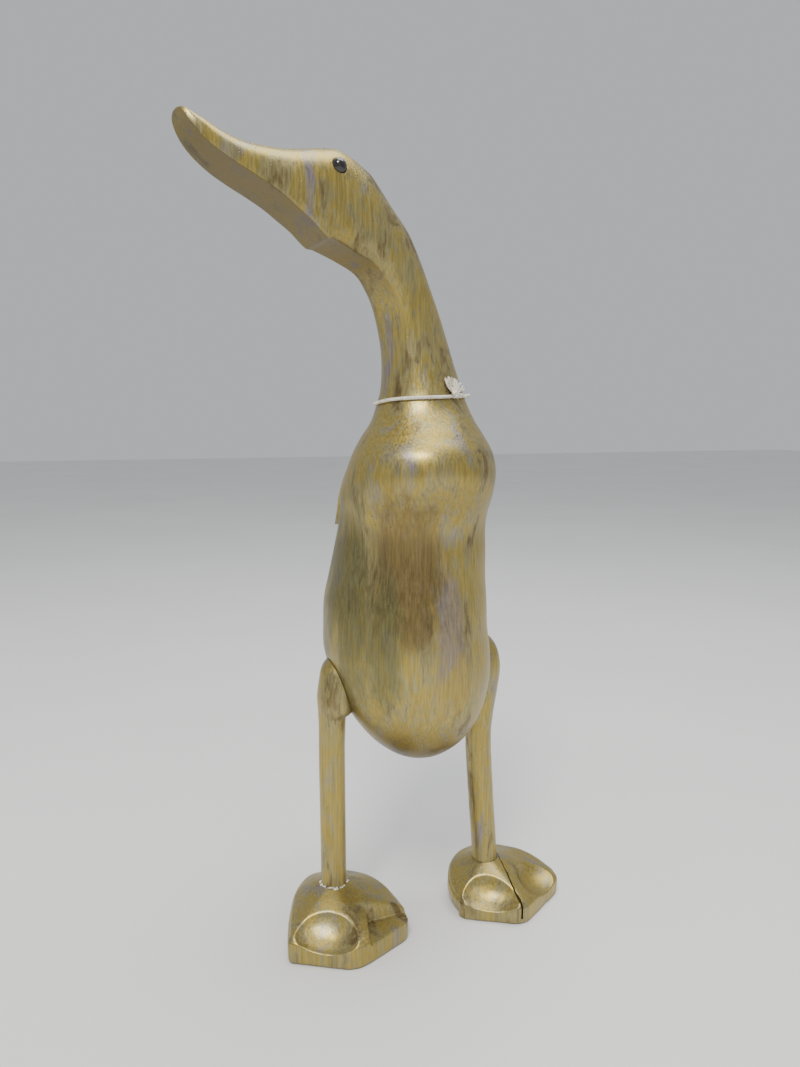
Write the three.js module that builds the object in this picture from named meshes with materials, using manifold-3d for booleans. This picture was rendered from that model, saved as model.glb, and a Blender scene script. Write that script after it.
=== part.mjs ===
// Standing wooden duck figure with its head turned to its right.
// Millimetres, +Z up. The duck faces -Y, so its right side is at -X.
import * as THREE from "three";
import { mergeVertices } from "three/addons/utils/BufferGeometryUtils.js";
import Module from "manifold-3d";

const wasm = await Module();
wasm.setup();

// Driving sizes
const GAP = 0.3; // clearance where two pieces meet
const DEG = Math.PI / 180;
const HEAD_TURN = 79 * DEG; // head heading, from straight ahead to the duck's right
const NECK_ROOT = [2.5, -8]; // x, y of the neck's root
const CHORD = 0.55; // half width of the belly strip over half width, on the trunk

// Trunk: height, sideways shift, half width, reach to the front, reach to the back
const TRUNK = [
  [107.0, 1.0, 0, 9, -9],
  [108.1, 1.0, 8.3, 17.5, -1],
  [111.5, 1.0, 16.9, 26, 9],
  [119, 1.0, 27.0, 35.5, 21],
  [127, 0.8, 34.0, 41.5, 31],
  [136, 0.5, 39.8, 46, 40.5],
  [146, 0, 44.0, 48.5, 48],
  [157, -0.6, 47.3, 50, 54],
  [171, -2.2, 49.2, 50.5, 58],
  [185, -3.0, 48.3, 50, 59.5],
  [200, -2.8, 47.6, 48.3, 58.5],
  [216, -1.8, 45.6, 46, 55],
  [231, -0.6, 44.2, 44.6, 50.5],
  [243, -0.2, 42.8, 44.6, 46],
  [252, 0, 42.6, 46.6, 42],
  [261, 0.2, 43.4, 50.6, 38.5],
  [270, 0.6, 43.1, 54.2, 35],
  [278, 1.1, 41.8, 55.5, 31.5],
  [287, 1.6, 39.3, 53.5, 28],
  [296, 2.2, 34.6, 46.5, 24],
  [304, 2.9, 29.5, 40, 20.5],
  [312, 3.0, 26.2, 34.5, 18.5],
];

// Neck, head and bill, in the upright plane through the neck's root that holds the bill.
// Underside point (along, height), top point (along, height), half width,
// twist out of that plane, flat strip's half width over half width, flatness,
// share of the depth below the widest level
const NECK = [
  [23.2, 321, -23.2, 321, 23.2, 58, 0.55, 0, 0.5],
  [22.4, 335.4, -15.6, 340.5, 19.8, 42, 0.54, 0, 0.5],
  [23.6, 350.8, -8.2, 361, 17.7, 31, 0.5, 0.5, 0.5],
  [26.4, 364.5, -0.2, 379, 17.0, 26, 0.48, 0.9, 0.5],
  [30.8, 373.4, 4.6, 391, 17.0, 22, 0.48, 1, 0.5],
  [38.4, 382.6, 11.4, 405.4, 17.1, 17, 0.49, 1, 0.5],
  [49.4, 389.0, 21.6, 418.4, 17.4, 10, 0.56, 1, 0.5],
  [60.4, 394.3, 31.6, 430.2, 17.6, 4, 0.74, 1, 0.5],
  [63.4, 394.8, 35, 433.4, 17.6, 2, 0.8, 1, 0.5],
  [72, 402, 52, 441.6, 17.5, 2, 0.8, 1, 0.5],
  [80, 407.6, 65.5, 440.4, 17.0, 3, 0.82, 1, 0.48],
  [88, 413, 78, 438.3, 16.0, 4, 0.86, 1, 0.42],
  [97, 417.7, 90, 437.6, 15.0, 4, 0.91, 1, 0.36],
  [106, 422, 101.5, 437.9, 14.4, 4, 0.94, 1, 0.3],
  [115, 426.6, 110, 439.3, 14.3, 3, 0.95, 1, 0.28],
  [124.4, 433.1, 116.8, 442.1, 13.8, 1, 0.95, 1, 0.28],
  [130.3, 440, 123.2, 445, 12.4, 0, 0.95, 1, 0.3],
  [133.6, 446, 131, 447.8, 8.6, 0, 0.92, 1, 0.4],
  [134.2, 448, 134.2, 448, 0, 0, 0.8, 1, 0.5],
];
const STRIP_STEPS = 6; // mesh steps across the underside strip
const FLANK_STEPS = 4; // from the strip's edge to the widest level
const TOP_STEPS = 16; // from the widest level over the top to the other side

// Folded wings: raised panels on the back with squared lower ends
const WING = { end: 244, top: 284, lift: 2.4, front: 112, back: 173 };

// Tail: a short point low on the back
const TAIL = { height: 150, reach: 26, halfWidth: 15, halfHeight: 13, rise: 6 };

const heading = new THREE.Vector3(-Math.sin(HEAD_TURN), -Math.cos(HEAD_TURN), 0);
const up = new THREE.Vector3(0, 0, 1);

// A station of the loft: centre, lean, twist, half width, top, underside, strip share, flatness
function trunkStation([z, x, halfWidth, front, back]) {
  const halfDepth = (front + back) / 2;
  return {
    x,
    y: (back - front) / 2,
    z,
    lean: 0,
    twist: HEAD_TURN / DEG,
    w: halfWidth,
    top: halfDepth,
    flat: halfDepth * Math.sqrt(1 - CHORD * CHORD),
    strip: CHORD,
    flatness: 0,
  };
}

function neckStation([l0, z0, l1, z1, w, twist, strip, flatness, share]) {
  const depth = Math.hypot(l1 - l0, z1 - z0);
  const along = l0 + (l1 - l0) * share;
  const bulge = 1 / Math.sqrt(1 - strip * strip);
  return {
    x: NECK_ROOT[0] + along * heading.x,
    y: NECK_ROOT[1] + along * heading.y,
    z: z0 + (z1 - z0) * share,
    lean: depth > 0 ? Math.atan2(z1 - z0, l0 - l1) / DEG : 40,
    twist,
    w,
    top: depth * (1 - share),
    flat: (depth * share) / (flatness + (1 - flatness) * bulge),
    strip,
    flatness,
  };
}

const stations = [...TRUNK.map(trunkStation), ...NECK.map(neckStation)];
const KEYS = Object.keys(stations[0]);
const RADIAL = ["w", "top", "flat"];
const last = stations.length - 1;

// Running length over the stations, counting the change of width as well
stations.forEach((a, i) => {
  const b = stations[i - 1];
  a.s = b ? b.s + Math.hypot(a.x - b.x, a.y - b.y, a.z - b.z, a.w - b.w) : 0;
});

function slope(i, key) {
  const a = stations[Math.max(i - 1, 0)];
  const b = stations[Math.min(i + 1, last)];
  if ((i === 0 || i === last) && !RADIAL.includes(key)) {
    return 0;
  }
  return (b[key] - a[key]) / (b.s - a.s);
}

// Section at running length s, by cubic pieces through the stations
function sectionAt(s) {
  let i = 0;
  while (i < last - 1 && stations[i + 1].s < s) {
    i += 1;
  }
  const a = stations[i];
  const b = stations[i + 1];
  const step = b.s - a.s;
  const t = (s - a.s) / step;
  const out = {};
  for (const key of KEYS) {
    out[key] =
      a[key] * (1 - t) * (1 - t) * (1 + 2 * t) +
      b[key] * t * t * (3 - 2 * t) +
      slope(i, key) * step * t * (1 - t) * (1 - t) -
      slope(i + 1, key) * step * t * t * (1 - t);
  }
  return out;
}

// Running length where the centre line reaches a height
function lengthAtHeight(z) {
  let low = 0;
  let high = stations[last].s;
  while (high - low > 1e-4) {
    const middle = (low + high) / 2;
    if (sectionAt(middle).z < z) {
      low = middle;
    } else {
      high = middle;
    }
  }
  return low;
}

// Angles round a section, from the middle of the underside over the left side
const TOP_ANGLES = [];
for (let i = 0; i <= TOP_STEPS; i += 1) {
  const t = (2 * i) / TOP_STEPS - 1;
  TOP_ANGLES.push(180 + 90 * t * (0.68 + 0.32 * t * t));
}
for (const edge of [WING.front, WING.back]) {
  for (const side of [-0.8, 0.8]) {
    TOP_ANGLES.push(edge + side, 360 - edge - side);
  }
}
TOP_ANGLES.sort((a, b) => a - b);

function smooth(t) {
  const c = Math.min(Math.max(t, 0), 1);
  return c * c * (3 - 2 * c);
}

// Lift of the wing panels and the tail over the plain trunk
function wingLift(angle, z) {
  const a = Math.min(angle, 360 - angle);
  if (a < WING.front || a > WING.back || z < WING.end) {
    return 0;
  }
  return WING.lift * smooth((WING.top - z) / (WING.top - WING.end));
}

function tailLift(x, z) {
  const a = x / TAIL.halfWidth;
  const b = (z - TAIL.height) / TAIL.halfHeight;
  return Math.exp(-a * a - b * b);
}

// Ring of points of one section; extra widens it all round
function ring(s, extra = 0) {
  const c = sectionAt(s);
  const lean = c.lean * DEG;
  const twist = c.twist * DEG;
  const flatTop = up.clone().multiplyScalar(Math.sin(lean));
  flatTop.addScaledVector(heading, -Math.cos(lean));
  const along = up.clone().multiplyScalar(Math.cos(lean));
  along.addScaledVector(heading, Math.sin(lean));
  const flatSide = new THREE.Vector3().crossVectors(flatTop, along);
  const top = flatTop.clone().multiplyScalar(Math.cos(twist));
  top.addScaledVector(flatSide, -Math.sin(twist));
  const side = flatTop.clone().multiplyScalar(Math.sin(twist));
  side.addScaledVector(flatSide, Math.cos(twist));
  const w = Math.max(c.w, 0) + extra;
  const height = Math.max(c.top, 0) + extra;
  const flat = Math.max(c.flat, 0) + extra * Math.sqrt(1 - c.strip * c.strip);
  const half = w * c.strip;
  const under = flat / Math.sqrt(1 - c.strip * c.strip);
  const edge = Math.atan2(c.strip, Math.sqrt(1 - c.strip * c.strip)) / DEG;
  const points = [];
  const place = (x, y, angle) => {
    const lift = extra ? 0 : wingLift(angle, c.z);
    const r = Math.hypot(x, y) || 1;
    const p = new THREE.Vector3(c.x, c.y, c.z);
    p.addScaledVector(side, x + (lift * x) / r);
    p.addScaledVector(top, y + (lift * y) / r);
    if (!extra && angle > 90 && angle < 270 && c.z < 220) {
      const t = tailLift(p.x - c.x, p.z);
      const facing = Math.max(-Math.cos(angle * DEG), 0);
      p.y += TAIL.reach * t * facing;
      p.z += TAIL.rise * t * facing;
    }
    points.push(p);
  };
  for (let i = 0; i < STRIP_STEPS; i += 1) {
    const x = (half * (2 * i - STRIP_STEPS)) / STRIP_STEPS;
    const e = Math.atan2(x / w || 0, flat / under || 1);
    const round = [w * Math.sin(e), -under * Math.cos(e)];
    const f = c.flatness;
    place(x * f + round[0] * (1 - f), -flat * f + round[1] * (1 - f), e / DEG);
  }
  const flank = (angle) => place(w * Math.sin(angle * DEG), -under * Math.cos(angle * DEG), angle);
  for (let i = 0; i < FLANK_STEPS; i += 1) {
    flank(edge + ((90 - edge) * i) / FLANK_STEPS);
  }
  for (const angle of TOP_ANGLES) {
    place(w * Math.sin(angle * DEG), -height * Math.cos(angle * DEG), angle);
  }
  for (let i = 1; i < FLANK_STEPS; i += 1) {
    flank(270 + ((90 - edge) * i) / FLANK_STEPS);
  }
  return points;
}

// Closed surface through rings, with a point at each end
function skin(rings, first, final) {
  const around = rings[0].length;
  const points = [first, ...rings.flat(), final];
  const index = [];
  const at = (i, j) => 1 + i * around + (j % around);
  for (let j = 0; j < around; j += 1) {
    index.push(0, at(0, j + 1), at(0, j));
    for (let i = 0; i + 1 < rings.length; i += 1) {
      index.push(at(i, j), at(i, j + 1), at(i + 1, j + 1));
      index.push(at(i, j), at(i + 1, j + 1), at(i + 1, j));
    }
    index.push(points.length - 1, at(rings.length - 1, j), at(rings.length - 1, j + 1));
  }
  const geometry = new THREE.BufferGeometry().setFromPoints(points);
  geometry.setIndex(index);
  return geometry;
}

function toSolid(geometry) {
  const bare = geometry.clone();
  bare.deleteAttribute("normal");
  bare.deleteAttribute("uv");
  const merged = mergeVertices(bare, 1e-4);
  return new wasm.Manifold(
    new wasm.Mesh({
      numProp: 3,
      vertProperties: merged.attributes.position.array,
      triVerts: new Uint32Array(merged.index.array),
    }),
  );
}

// The largest body of a cut solid, without the loose offcuts
function mainBody(solid) {
  const bodies = solid.simplify(0.01).decompose();
  return bodies.sort((a, b) => b.volume() - a.volume())[0];
}

function toGeometry(solid) {
  const mesh = mainBody(solid).getMesh();
  const geometry = new THREE.BufferGeometry();
  geometry.setAttribute("position", new THREE.BufferAttribute(mesh.vertProperties, 3));
  geometry.setIndex(new THREE.BufferAttribute(mesh.triVerts, 1));
  geometry.computeVertexNormals();
  return geometry;
}

// Body, neck, head and bill as one carved piece
function bodySurface(rowLengths, extra) {
  const a = stations[0];
  const b = stations[last];
  return skin(
    rowLengths.map((s) => ring(s, extra)),
    new THREE.Vector3(a.x, a.y, a.z - (extra || 0)),
    new THREE.Vector3(b.x, b.y, b.z),
  );
}

const rows = [];
stations.forEach((a, i) => {
  if (i > 0) {
    const b = stations[i - 1];
    const parts = a.s - b.s > 10.5 ? 2 : 1;
    for (let k = i === 1 ? 1 : 0; k < parts; k += 1) {
      rows.push(b.s + ((a.s - b.s) * k) / parts);
    }
  }
});
const wingEnd = lengthAtHeight(WING.end);
rows.push(stations[0].s + 3, wingEnd - 0.4, wingEnd + 0.4);
rows.push(stations[last].s - 2);
rows.sort((a, b) => a - b);

// Eye: a glossy bead set in a shallow round socket on each side of the head
const EYE = { along: 57.2, height: 430, radius: 4.1, sunk: 1.6, headSide: 16.2 };

function eyeCentre(side) {
  const offset = new THREE.Vector3().crossVectors(up, heading);
  const centre = new THREE.Vector3(NECK_ROOT[0], NECK_ROOT[1], EYE.height);
  centre.addScaledVector(heading, EYE.along);
  centre.addScaledVector(offset, side * (EYE.headSide - EYE.sunk));
  return centre;
}

function ball(centre, radius, detail = 8) {
  const geometry = new THREE.SphereGeometry(radius, detail * 2, detail);
  geometry.translate(centre.x, centre.y, centre.z);
  return geometry;
}

let body = toSolid(bodySurface(rows));
for (const side of [-1, 1]) {
  body = body.subtract(toSolid(ball(eyeCentre(side), EYE.radius + GAP)));
}
const bodyRoom = toSolid(bodySurface(rows, GAP));

// Feet, in plan from the ankle (across, forward), seen from above with the toes to -Y.
// walls: outer ends and middle of the two front walls, as across, forward, height of the upper
// edge, rounding of the corner; heel: the rounded rest, from the duck's left to its right
const FEET = {
  right: {
    ankle: [-49.6, 0],
    legRadius: 7.6,
    peak: 33,
    walls: [[-33.4, 25.4, 13, 3], [2.6, 44.8, 13, 10], [39.6, 26, 15.5, 5]],
    tuck: 0.8,
    tuckTop: 0.1,
    heel: [
      [38.5, 12, 15.5],
      [35, -3, 17.5],
      [28, -15, 19.5],
      [16, -23.5, 20.5],
      [2, -28, 20.5],
      [-11, -26, 20],
      [-21, -15, 18],
      [-27.8, 2, 15],
      [-31, 14, 13.5],
    ],
    scoops: [{ wall: 0, along: 5, out: 41, reach: 22, half: 30, depth: 25, level: 32.6 }],
  },
  left: {
    ankle: [50.2, 1.2],
    legRadius: 7.9,
    peak: 31,
    walls: [[-24, 19.5, 10.5, 4], [10.2, 38.4, 11.5, 8], [48.8, 11.6, 9.5, 6]],
    tuck: 2.6,
    tuckTop: 0.5,
    heel: [
      [48, 2, 11.5],
      [43, -8, 14.5],
      [35, -16, 17.5],
      [22, -23, 19.5],
      [7, -27, 20],
      [-7, -24, 19.5],
      [-17, -16, 18],
      [-23, -5, 14.5],
      [-25, 7, 11.5],
    ],
    scoops: [
      { wall: 0, along: 6.5, out: 34, reach: 20, half: 30, depth: 22, level: 27.8 },
      { wall: 1, along: 16, out: 37.5, reach: 20, half: 20, depth: 14, level: 21.5 },
    ],
  },
};
const WALL_STEPS = 8; // mesh steps along each front wall
const CORNER_STEPS = 3; // mesh steps round each corner of the walls
const HEEL_STEPS = 2; // mesh steps between the heel's outline points
const MOUND = [0.82, 0.56, 0.28]; // rings of the sloping top, as shares of the way out
const ROUND = 1.4; // rounding of the upper edge
const SOCKET_FLOOR = 12; // height of the floor of the hole that takes the leg

// Rough chisel cut in the right foot: left bank, fold between back and floor, front end
const CHISEL = {
  bank: [[6.6, 17.6], [14, 20.7], [10.2, 46]],
  far: [[60, 16.2], [60, 16.6], [60, 40]],
  heights: [25.3, 12.5, 9.5],
};

// Crack in the left foot: across, forward, width
const CRACK = [
  [15, -15, 0.5],
  [9.2, -4, 0.8],
  [8.8, 8, 0.9],
  [8.5, 24, 1.4],
  [9.2, 33, 1.6],
  [9.2, 42, 1.0],
];
const CRACK_FLOOR = 3;

// Outline of a foot as points (across, forward, height of the top edge); walls come first
function toward(a, b, mm) {
  const share = mm / Math.hypot(b[0] - a[0], b[1] - a[1]);
  return a.slice(0, 3).map((v, axis) => v + (b[axis] - v) * share);
}

function mix(a, b, t) {
  return a.map((v, axis) => v * (1 - t) + b[axis] * t);
}

function footWalls({ walls, heel }) {
  const before = [heel[heel.length - 1], walls[0], walls[1]];
  const after = [walls[1], walls[2], heel[0]];
  const points = [];
  walls.forEach((corner, k) => {
    const a = toward(corner, before[k], corner[3]);
    const b = toward(corner, after[k], corner[3]);
    const start = points[points.length - 1];
    for (let i = 1; k > 0 && i < WALL_STEPS; i += 1) {
      points.push(mix(start, a, i / WALL_STEPS));
    }
    for (let i = 0; i <= CORNER_STEPS; i += 1) {
      const t = i / CORNER_STEPS;
      points.push(mix(mix(a, corner.slice(0, 3), t), mix(corner.slice(0, 3), b, t), t));
    }
  });
  return points;
}

function footOutline(foot) {
  const points = footWalls(foot);
  const bend = [points[points.length - 1], ...foot.heel, points[0]];
  for (let i = 0; i + 1 < bend.length; i += 1) {
    const a = bend[i];
    const b = bend[i + 1];
    const before = bend[i - 1] || a;
    const after = bend[i + 2] || b;
    for (let k = i === 0 ? 1 : 0; k < HEEL_STEPS; k += 1) {
      const t = k / HEEL_STEPS;
      points.push(
        a.map(
          (v, axis) =>
            v * (1 - t) * (1 - t) * (1 + 2 * t) +
            b[axis] * t * t * (3 - 2 * t) +
            ((b[axis] - before[axis]) / 2) * t * (1 - t) * (1 - t) -
            ((after[axis] - v) / 2) * t * t * (1 - t),
        ),
      );
    }
  }
  return points;
}

function footPoint({ ankle }, across, forward, z) {
  return new THREE.Vector3(ankle[0] + across, ankle[1] - forward, z);
}

// Gouged hollow running out through a front wall
function scoopCutter(foot, { wall, along, out, reach, half, depth, level }) {
  const [a, b] = [foot.walls[wall], foot.walls[wall + 1]];
  const length = Math.hypot(b[0] - a[0], b[1] - a[1]);
  const u = [(b[0] - a[0]) / length, (b[1] - a[1]) / length];
  const n = [-u[1], u[0]];
  const geometry = new THREE.SphereGeometry(1, 16, 11);
  const position = geometry.attributes.position;
  for (let i = 0; i < position.count; i += 1) {
    const o = out + reach * position.getX(i);
    const t = along - half * position.getZ(i);
    const z = level + depth * position.getY(i);
    const p = footPoint(foot, o * n[0] + t * u[0], o * n[1] + t * u[1], z);
    position.setXYZ(i, p.x, p.y, p.z);
  }
  return toSolid(geometry);
}

// Closed block between an outline's floor points and the same outline at the top
function block(floor, top) {
  const count = floor.length;
  const index = [];
  for (let i = 0; i < count; i += 1) {
    const j = (i + 1) % count;
    index.push(i, j, count + j);
    index.push(i, count + j, count + i);
  }
  return { points: [...floor, ...top], index };
}

function chiselCutter(foot) {
  const { bank, far, heights } = CHISEL;
  const plan = [...bank, ...far.slice().reverse()];
  const level = [...heights, ...heights.slice().reverse()];
  const floor = plan.map(([x, y], i) => footPoint(foot, x, y, level[i]));
  const top = plan.map(([x, y]) => footPoint(foot, x, y, 45));
  const { points, index } = block(floor, top);
  index.push(0, 4, 1, 0, 5, 4, 1, 3, 2, 1, 4, 3);
  index.push(6, 7, 10, 6, 10, 11, 7, 8, 9, 7, 9, 10);
  const geometry = new THREE.BufferGeometry().setFromPoints(points);
  geometry.setIndex(index);
  return toSolid(geometry);
}

function crackCutter(foot) {
  const sides = [1, -1].map((side) =>
    CRACK.map(([x, y, width]) => [x + (side * width) / 2, y]),
  );
  const shape = new THREE.Shape();
  [...sides[0], ...sides[1].reverse()].forEach(([x, y], i) => {
    const p = footPoint(foot, x, y, 0);
    if (i === 0) {
      shape.moveTo(p.x, p.y);
    } else {
      shape.lineTo(p.x, p.y);
    }
  });
  const geometry = new THREE.ExtrudeGeometry(shape, { depth: 30, bevelEnabled: false });
  geometry.translate(0, 0, CRACK_FLOOR);
  return toSolid(geometry);
}

function footSolid(foot) {
  const outline = footOutline(foot);
  const wallPoints = footWalls(foot).length;
  const mean = (values) => values.reduce((sum, v) => sum + v, 0) / values.length;
  const reach = mean(outline.map(([x, y]) => Math.hypot(x, y)));
  const level = mean(outline.map(([, , edge]) => edge));
  const mound = (share) =>
    outline.map(([x, y, edge]) => {
      const scale = share * (share + ((1 - share) * reach) / Math.hypot(x, y));
      const low = edge * share + level * (1 - share);
      const z = low + (foot.peak - low) * (1 - share) ** 0.95;
      return footPoint(foot, x * scale, y * scale, z);
    });
  const inset = (mm, height) =>
    outline.map(([x, y, edge]) => {
      const share = 1 - mm / Math.hypot(x, y);
      return footPoint(foot, x * share, y * share, height(edge));
    });
  const rings = [
    outline.map(([x, y], i) => {
      const share = 1 - (i < wallPoints ? 0.4 : 0.4 + foot.tuck) / Math.hypot(x, y);
      return footPoint(foot, x * share, y * share, 0);
    }),
    inset(0, (edge) => edge * foot.tuckTop),
    inset(0, (edge) => edge - ROUND),
    inset(0.4 * ROUND, (edge) => edge - 0.35 * ROUND),
    inset(ROUND, (edge) => edge),
    ...MOUND.map(mound),
  ];
  const surface = skin(rings, footPoint(foot, 0, 0, 0), footPoint(foot, 0, 0, foot.peak));
  let solid = toSolid(surface);
  for (const scoop of foot.scoops) {
    solid = solid.subtract(scoopCutter(foot, scoop));
  }
  const hole = new THREE.CylinderGeometry(foot.legRadius + GAP, foot.legRadius + GAP, 40, 24);
  hole.rotateX(Math.PI / 2);
  const middle = footPoint(foot, 0, 0, SOCKET_FLOOR + 20);
  hole.translate(middle.x, middle.y, middle.z);
  return solid.subtract(toSolid(hole));
}

// Legs, from the ankle up: height, shift towards the body, shift back, half width, half depth.
// The straight shank ends in a thigh lobe that is cut to the trunk's side.
const LEGS = {
  right: [
    [12.3, 0, 0, 7.6, 7.6],
    [28, 0, 0, 7.6, 7.6],
    [70, -0.2, 0, 7.6, 7.6],
    [112, -0.2, 0, 7.6, 7.8],
    [124, 0, 0, 7.7, 8.6],
    [133.8, 0.2, 0.2, 8.1, 9.8],
    [136, 2.2, 0.5, 10.0, 11.7],
    [147, 3.6, 1, 11.6, 13.8],
    [158, 5.0, 1.5, 11.2, 13.2],
    [165, 5.2, 2, 8.6, 10.2],
    [169, 5.2, 2, 5.0, 6.2],
    [171, 5.2, 2, 0, 0],
  ],
  left: [
    [12.3, 0, 0, 7.9, 7.9],
    [28, 0.1, 0, 7.9, 7.9],
    [70, 3.0, 0, 7.9, 7.9],
    [112, 5.4, 0, 8.0, 8.2],
    [124, 5.4, 0, 8.8, 10.0],
    [140.5, 4.6, 0.5, 10.6, 12.4],
    [154.5, 4.1, 1, 11.8, 13.8],
    [165, 5.0, 1.5, 11.1, 13.0],
    [171, 5.6, 2, 8.5, 10.0],
    [174.7, 5.8, 2, 5.0, 6.2],
    [176.5, 5.8, 2, 0, 0],
  ],
};
const LEG_STEPS = 20;

function legSolid(side, foot, table) {
  const at = (inward, back, z) =>
    new THREE.Vector3(foot.ankle[0] - side * inward, foot.ankle[1] + back, z);
  const rings = table.slice(0, -1).map(([z, inward, back, halfWidth, halfDepth]) => {
    const points = [];
    for (let i = 0; i < LEG_STEPS; i += 1) {
      const t = (2 * Math.PI * i) / LEG_STEPS;
      const p = at(inward, back, z);
      points.push(p.add(new THREE.Vector3(halfWidth * Math.cos(t), halfDepth * Math.sin(t), 0)));
    }
    return points;
  });
  const base = table[0];
  const tip = table[table.length - 1];
  const surface = skin(rings, at(base[1], base[2], base[0]), at(tip[1], tip[2], tip[0]));
  return toSolid(surface).subtract(bodyRoom);
}

// String: a loop lying on the neck's root, tied at the front left; its ends are cut short,
// one frayed into a standing tuft, the other lying along the loop
const STRING = { height: 317.3, tilt: 0.9, sag: 2.4, sagAt: -109 * DEG, radius: 1.0, steps: 34 };
const KNOT = { angle: 24 * DEG, height: 318.9, radius: 1.9 };

// Strands out of the knot: points (degrees to the duck's left, off the neck, height), end radius
const STRANDS = [
  [[[18, 1.4, 323.2], [16, 1.6, 327.3]], 0.4],
  [[[22, 1.6, 323.6], [24, 1.7, 328.6]], 0.5],
  [[[29, 1.8, 323.4], [34, 1.9, 327.6]], 0.6],
  [[[34, 1.7, 322.2], [46, 2.0, 325.2]], 0.45],
  [[[36, 1.6, 320.6], [50, 2.4, 321.8]], 0.4],
  [[[39, 1.5, 318.7], [56, 1.8, 318.3], [66, 3.4, 318.9]], 0.6],
];
const STRAND_RADIUS = 0.9; // at the knot
const STRAND_STEPS = 3;

function neckPoint(angle, z, offset) {
  const axis = sectionAt(lengthAtHeight(z));
  const direction = new THREE.Vector3(Math.sin(angle), -Math.cos(angle), 0);
  const surface = sectionRadius(z, direction) + offset;
  return new THREE.Vector3(axis.x, axis.y, z).addScaledVector(direction, surface);
}

// Distance from the neck's axis to its surface at a height, in a level direction
function sectionRadius(z, direction) {
  const axis = sectionAt(lengthAtHeight(z));
  let best = 0;
  let most = -2;
  for (let k = -8; k <= 8; k += 1) {
    for (const p of ring(lengthAtHeight(z + k * 0.5))) {
      const x = p.x - axis.x;
      const y = p.y - axis.y;
      const r = Math.hypot(x, y);
      const facing = (x * direction.x + y * direction.y) / r - Math.abs(p.z - z) * 0.02;
      if (facing > most) {
        most = facing;
        best = r;
      }
    }
  }
  return best;
}

// Tapering strand along a curve
function strand(points, radius) {
  const curve = new THREE.CatmullRomCurve3(points);
  const frames = curve.computeFrenetFrames(STRAND_STEPS, false);
  const rings = [];
  for (let i = 0; i <= STRAND_STEPS; i += 1) {
    const r = STRAND_RADIUS + ((radius - STRAND_RADIUS) * i) / STRAND_STEPS;
    const around = [];
    for (let k = 0; k < 6; k += 1) {
      const t = (k * Math.PI) / 3;
      const p = curve.getPointAt(i / STRAND_STEPS);
      p.addScaledVector(frames.normals[i], r * Math.cos(t));
      around.push(p.addScaledVector(frames.binormals[i], r * Math.sin(t)));
    }
    rings.push(around);
  }
  return toSolid(skin(rings, curve.getPointAt(0), curve.getPointAt(1)));
}

function stringSolid() {
  const path = [];
  for (let i = 0; i < STRING.steps; i += 1) {
    const angle = (2 * Math.PI * i) / STRING.steps;
    const sag = Math.max(Math.cos(angle - STRING.sagAt), 0) ** 4;
    const z = STRING.height + STRING.tilt * Math.sin(angle) - STRING.sag * sag;
    path.push(neckPoint(angle, z, STRING.radius + GAP + 0.15));
  }
  const curve = new THREE.CatmullRomCurve3(path, true);
  let solid = toSolid(new THREE.TubeGeometry(curve, STRING.steps, STRING.radius, 6, true));
  const knot = neckPoint(KNOT.angle, KNOT.height, KNOT.radius + GAP + 0.1);
  solid = solid.add(toSolid(ball(knot, KNOT.radius, 5)));
  for (const [route, radius] of STRANDS) {
    const points = route.map(([angle, off, z]) => neckPoint(angle * DEG, z, off));
    solid = solid.add(strand([knot, ...points], radius));
  }
  return solid;
}

const group = new THREE.Group();

function addPiece(name, solid, colour, roughness, metalness) {
  const material = new THREE.MeshStandardMaterial({ color: colour, roughness, metalness });
  const mesh = new THREE.Mesh(toGeometry(solid), material);
  mesh.name = name;
  group.add(mesh);
}

const PAINT = [0x8a7d4c, 0.42, 0.6];
addPiece("body", body, ...PAINT);
addPiece("leg_right", legSolid(-1, FEET.right, LEGS.right), ...PAINT);
addPiece("leg_left", legSolid(1, FEET.left, LEGS.left), ...PAINT);
addPiece("foot_right", footSolid(FEET.right).subtract(chiselCutter(FEET.right)), ...PAINT);
addPiece("foot_left", footSolid(FEET.left).subtract(crackCutter(FEET.left)), ...PAINT);
addPiece("eye_right", toSolid(ball(eyeCentre(-1), EYE.radius, 8)), 0x0b0a0a, 0.08, 0);
addPiece("eye_left", toSolid(ball(eyeCentre(1), EYE.radius, 8)), 0x0b0a0a, 0.08, 0);
addPiece("neck_string", stringSolid(), 0xe9e4d6, 0.9, 0);

// Origin: on the floor, in the middle of the outer sizes
const box = new THREE.Box3().setFromObject(group);
const middle = box.getCenter(new THREE.Vector3());
for (const mesh of group.children) {
  mesh.geometry.translate(-middle.x, -middle.y, -box.min.z);
}

export default group;
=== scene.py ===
# Standing wooden duck figure in brushed gold paint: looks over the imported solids.
import math
import bpy
import bmesh
import numpy as np
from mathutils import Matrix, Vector, noise


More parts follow.
